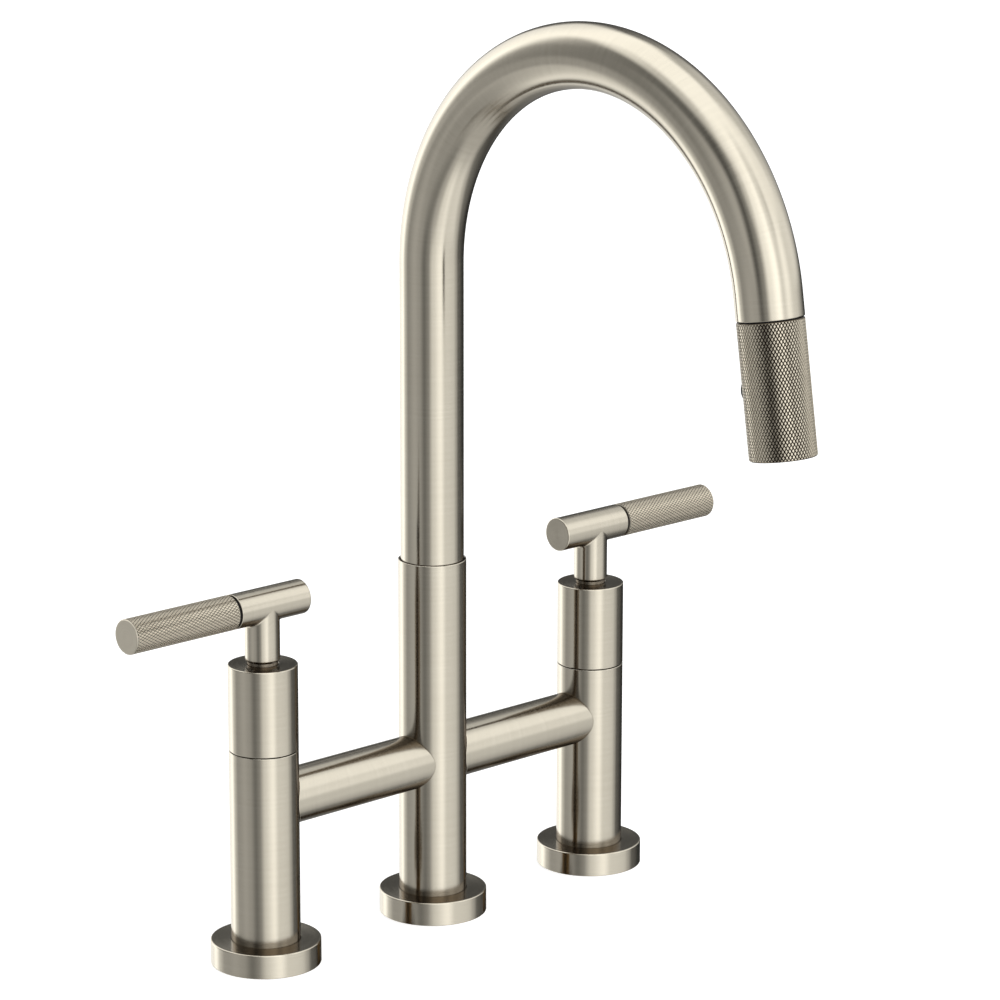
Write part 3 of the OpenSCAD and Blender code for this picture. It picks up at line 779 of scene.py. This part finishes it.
def make_head():
    base = HEAD_R - HEAD_DEPTH
    bore = HEAD_R - 1.7 * MM
    bottom, top = -HEAD_LEN, -HEAD_GAP
    low, high = bottom + 0.45 * MM, top - 0.45 * MM
    barrel = Shape()
    barrel.lathe(rounded([
        (HEAD_R - 0.45 * MM, bottom, 0.1 * MM), (HEAD_R - 0.1 * MM, low, 0.05 * MM),
        (base, low + 0.05 * MM, 0), (base, high - 0.05 * MM, 0), (HEAD_R - 0.1 * MM, high, 0.05 * MM),
        (HEAD_R - 0.45 * MM, top, 0.1 * MM), (bore, top, 0.1 * MM), (bore, bottom, 0.15 * MM),
    ]), sides=192)
    blank = barrel.build("barrel_blank", None, [KNURL])
    start, end = 6 * MM, 18 * MM
    drill = Shape()
    drill.lathe(capped([(0, start, 0), (BEZEL_IN, start, 0), (BEZEL_IN, end, 0), (0, end, 0)]),
                sides=96, closed=False)
    sideways = Matrix.Translation((0, 0, -BUTTON_DROP)) @ Matrix.Rotation(-math.pi / 2, 4, "X")
    cutter = drill.build("drill_blank", None, [KNURL], place=sideways)
    cut = blank.modifiers.new("button_hole", "BOOLEAN")
    cut.operation, cut.object, cut.solver = "DIFFERENCE", cutter, "EXACT"
    bpy.context.view_layer.update()
    drilled = blank.evaluated_get(bpy.context.evaluated_depsgraph_get()).to_mesh()
    points = np.array([v.co for v in drilled.vertices])
    faces = [list(p.vertices) for p in drilled.polygons]
    for tool in (blank, cutter):
        bpy.data.objects.remove(tool)

    def clear_of_button(a, z):
        across = HEAD_R * math.remainder(a - math.pi / 2, TURN)
        return math.hypot(across, z + BUTTON_DROP) > (BEZEL_IN + BEZEL_OUT) / 2 + 0.1 * MM

    shape = Shape()
    # The plain shell takes a fixed low height, so the knurl material paints most of the groove shade onto
    # its rims and bore
    shape.loose(points, faces, np.zeros(len(points)) + 0.25, HEAD_R, smooth=False)
    knurl(shape, HEAD_R, HEAD_DEPTH, 62, 22, low, high, keep=clear_of_button)
    shape.build("spray_shell_knurled", "spray_head", [KNURL], ["spray_shell"], DOCK)


def make_bezel():
    """A smooth dark ring that frames the button and follows the barrel's curve."""
    sides = 128
    angle = np.arange(sides) / sides * TURN
    # Each ring's radius about the button, and its height over the barrel in millimetres
    section = (
        (BEZEL_IN, -1.2), (BEZEL_IN, -0.1), (BEZEL_IN + 0.1 * MM, 0.03), (BEZEL_IN + 0.25 * MM, 0.06),
        (BEZEL_OUT - 0.25 * MM, 0.06), (BEZEL_OUT - 0.08 * MM, 0.0), (BEZEL_OUT, -0.12),
        (BEZEL_OUT, -0.5), (BEZEL_OUT, -1.2),
    )
    rows = []
    for radius, lift in section:
        across, along = radius * np.cos(angle), radius * np.sin(angle)
        out = np.sqrt((HEAD_R + lift * MM) ** 2 - across ** 2)
        rows.append(np.stack([across, out, -BUTTON_DROP - along], -1))
    bezel = Shape()
    bezel.grid(np.array(rows)[::-1], BEZEL_OUT, closed=True)
    bezel.build("button_bezel", "spray_head", [RUBBER], place=DOCK)


def make_button():
    low, high = 9.5 * MM, HEAD_R + 1.85 * MM
    crown = 0.5 * MM
    dome = [(BUTTON_R * t, high - crown * t ** 2.4, 0) for t in (0.9, 0.72, 0.54, 0.36, 0.18)]
    shape = Shape()
    shape.lathe(capped([(0, low, 0), (BUTTON_R, low, 0.2 * MM), (BUTTON_R, high - 0.7 * MM, 0.3 * MM)]
                       + dome + [(0, high, 0)]), sides=96, closed=False)
    # Three fine grip ribs stand round the crown
    rib = 0.16 * MM
    for radius in (1.5 * MM, 2.7 * MM, 3.9 * MM):
        z = high - crown * (radius / BUTTON_R) ** 2.4
        shape.lathe([(radius + rib * math.cos(a), z + rib * math.sin(a))
                     for a in np.linspace(0, TURN, 9)[:-1]], sides=72)
    shape.build("spray_button_moulded", "button", [RUBBER], ["spray_button"], BUTTON)


make_head()
make_bezel()
make_button()


# ---- Hose: its loose end in the spout, with rings spaced for the length that pays out with the spray head ----

def make_hose():
    start = RISE + BEND_LEN - math.radians(22) * BEND_R
    stop = RISE + BEND_LEN + 0.05 * MM
    slack = 17 * MM
    travel = 240 * MM
    radius = reach("hose_end", 0)
    inset = 0.985                # how much of its CAD solid's radius the braid fills
    sides = 32
    rings = 300

    def pulled(s):
        """Where a point of the hose lies along it once the spray head is out at its limit."""
        t = min(1, max(0, (s - (stop - slack)) / slack))
        return s + travel * t * t * (3 - 2 * t)

    fine = np.linspace(start, stop, 6000)
    out = np.array([pulled(s) for s in fine])
    run = np.linspace(out[0], out[-1], rings)
    rows = np.array([tube_ring(s, radius * inset, sides) for s in np.interp(run, out, fine)])
    shape = Shape()
    shape.grid(rows, radius)
    hose = shape.build("hose_end_braided", None, [BRAID], ["hose_end"])
    around = np.arange(sides) / sides
    strand = np.zeros((rings, sides, 3), np.float32)
    strand[..., 0] = np.abs(around * 2 - 1) * 12
    strand[..., 1] = (run / (2.4 * MM))[:, None]
    hose.data.attributes.new("strand", "FLOAT_VECTOR", "POINT").data.foreach_set("vector", strand.ravel())
    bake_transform(hose)


make_hose()


# ---- The rest of the CAD nodes keep their shape and get their finish ----

slots = {part["node"]: part["material_slot"] for part in frame["record"]["subparts"]}
for name, node in frame["nodes"].items():
    if not node.hide_render:
        node.data.materials.clear()
        node.data.materials.append(COLLAR if name == "stem_guides" else FINISH[slots[name]])


# ---- Floor, backdrop and light ----

FLOOR_R = 6.0
DOME_R = 14.0


def make_stage():
    floor = bpy.data.meshes.new("floor")
    floor.from_pydata([(x * FLOOR_R, y * FLOOR_R, 0) for x, y in ((-1, -1), (1, -1), (1, 1), (-1, 1))],
                      [], [(0, 1, 2, 3)])
    m = Nodes("pale_floor")
    speck = m.noise(m.place(), 30, detail=2)
    m.link(m.tones(speck, (0.86, 0.86, 0.86), (0.90, 0.90, 0.90)), m.shader.inputs["Base Color"])
    m.set(Roughness=0.9, Emission_Color=(1, 1, 1, 1), Emission_Strength=0.55)
    m.shader.inputs["Specular IOR Level"].default_value = 0.0
    floor.materials.append(m.material)
    ground = bpy.data.objects.new("floor", floor)

    # A white dome, which only the camera sees
    rows, cols = 24, 48
    points = [(DOME_R * math.cos(e) * math.cos(a), DOME_R * math.cos(e) * math.sin(a), DOME_R * math.sin(e))
              for e in np.linspace(-math.pi / 2, math.pi / 2, rows) for a in np.linspace(0, TURN, cols)]
    quads = [(i * cols + j, i * cols + j + 1, (i + 1) * cols + j + 1, (i + 1) * cols + j)
             for i in range(rows - 1) for j in range(cols - 1)]
    dome = bpy.data.meshes.new("backdrop")
    dome.from_pydata(points, [], quads)
    white = bpy.data.materials.new("white_backdrop")
    white.use_nodes = True
    white.node_tree.nodes.clear()
    glow = white.node_tree.nodes.new("ShaderNodeEmission")
    out = white.node_tree.nodes.new("ShaderNodeOutputMaterial")
    white.node_tree.links.new(glow.outputs[0], out.inputs["Surface"])
    dome.materials.append(white)
    backdrop = bpy.data.objects.new("backdrop", dome)
    for o in (ground, backdrop):
        bpy.context.scene.collection.objects.link(o)
        o.visible_glossy = False
    backdrop.visible_diffuse = backdrop.visible_shadow = backdrop.visible_transmission = False


make_stage()

# Studio light, as white panels and dark flags round the object would give it. Each list gives
# (bearing from the camera in degrees, positive to its right, brightness) at one height. The
# levels follow how bright the photo's metal looks where it reflects that bearing.
PEAK = 2.0
OVERHEAD = 1.18
UNDERNEATH = 0.45
HIGH_RING = (
    (-180, 1.25), (-118, 1.25), (-96, 0.95), (-66, 0.58), (-38, 0.62), (-12, 1.0), (28, 1.25),
    (48, 0.88), (80, 1.12), (104, 1.05), (135, 0.6), (158, 0.5), (172, 1.1), (180, 1.25),
)
SHOULDER_RING = (
    (-180, 0.3), (-168, 0.95), (-126, 1.3), (-106, 0.42), (-92, 0.2), (-60, 0.13), (-36, 0.08),
    (-22, 0.2), (-6, 0.62), (8, 1.1), (30, 1.3), (46, 0.85), (56, 0.68), (68, 1.05),
    (104, 1.0), (128, 0.6), (152, 0.6), (170, 0.2), (180, 0.1),
)
MIDDLE_RING = (
    (-180, 0.05), (-170, 0.08), (-162, 0.95), (-140, 1.2), (-126, 1.5), (-108, 0.3), (-85, 0.19),
    (-46, 0.45), (-29, 0.09), (-14, 0.26), (6, 1.05), (32, 1.4), (48, 0.82), (66, 1.15), (88, 0.8),
    (110, 0.86), (150, 0.42), (166, 0.1), (180, 0.07),
)
LOW_RING = (
    (-180, 0.7), (-170, 0.95), (-140, 1.2), (-126, 1.5), (-106, 0.55), (-93, 0.3), (-64, 0.42),
    (-44, 0.34), (-25, 0.16), (-13, 0.24), (6, 0.76), (33, 1.15), (52, 0.74), (86, 0.66), (99, 0.4),
    (112, 0.11), (146, 0.03), (180, 0.04),
)
FLOOR_RING = (
    (-180, 0.2), (-168, 0.35), (-156, 0.75), (-142, 0.15), (-122, 1.0), (-96, 0.55), (-76, 0.3),
    (-50, 0.33), (-22, 0.21), (-2, 0.45), (18, 0.85), (34, 0.98), (52, 0.78), (78, 0.8),
    (96, 0.5), (114, 0.16), (150, 0.06), (180, 0.2),
)


def make_light():
    world = bpy.data.worlds.new("studio")
    bpy.context.scene.world = world
    world.use_nodes = True
    tree = world.node_tree
    tree.nodes.clear()
    add, link = tree.nodes.new, tree.links.new
    coordinates = add("ShaderNodeTexCoord")
    spin = add("ShaderNodeVectorRotate")
    spin.rotation_type = "Z_AXIS"
    # The radial gradient starts opposite +X; this turns the camera's bearing to its middle
    spin.inputs["Angle"].default_value = math.pi / 2 - CAMERA_AZIMUTH
    link(coordinates.outputs["Generated"], spin.inputs["Vector"])
    radial = add("ShaderNodeTexGradient")
    radial.gradient_type = "RADIAL"
    link(spin.outputs[0], radial.inputs[0])
    split = add("ShaderNodeSeparateXYZ")
    link(coordinates.outputs["Generated"], split.inputs[0])

    def ring(stops):
        node = add("ShaderNodeValToRGB")
        ramp = node.color_ramp
        ramp.interpolation = "EASE"
        while len(ramp.elements) > 1:
            ramp.elements.remove(ramp.elements[-1])
        for k, (bearing, level) in enumerate(stops):
            place = (bearing + 180) / 360
            if k == 0:
                spot = ramp.elements[0]
                spot.position = place
            else:
                spot = ramp.elements.new(place)
            spot.color = (level / PEAK,) * 3 + (1,)
        link(radial.outputs["Fac"], node.inputs["Fac"])
        return node.outputs["Color"]

    def plain(level):
        node = add("ShaderNodeRGB")
        node.outputs[0].default_value = (level / PEAK,) * 3 + (1,)
        return node.outputs[0]

    def blend_up(below, above, start, end):
        """Goes from one ring to the next between two elevations."""
        share = add("ShaderNodeMapRange")
        share.interpolation_type = "SMOOTHSTEP"
        share.inputs["From Min"].default_value = math.sin(math.radians(start))
        share.inputs["From Max"].default_value = math.sin(math.radians(end))
        link(split.outputs["Z"], share.inputs["Value"])
        mix = add("ShaderNodeMix")
        mix.data_type = "RGBA"
        link(share.outputs["Result"], mix.inputs["Factor"])
        link(below, mix.inputs["A"])
        link(above, mix.inputs["B"])
        return mix.outputs["Result"]

    sky = blend_up(plain(UNDERNEATH), ring(FLOOR_RING), -75, -52)
    sky = blend_up(sky, ring(LOW_RING), -28, -18)
    sky = blend_up(sky, ring(MIDDLE_RING), -9, 3)
    sky = blend_up(sky, ring(SHOULDER_RING), 19, 29)
    sky = blend_up(sky, ring(HIGH_RING), 38, 52)
    sky = blend_up(sky, plain(OVERHEAD), 55, 70)
    background = add("ShaderNodeBackground")
    background.inputs["Strength"].default_value = PEAK
    link(sky, background.inputs["Color"])
    out = add("ShaderNodeOutputWorld")
    link(background.outputs[0], out.inputs["Surface"])


make_light()
bpy.context.scene.view_settings.view_transform = "Standard"
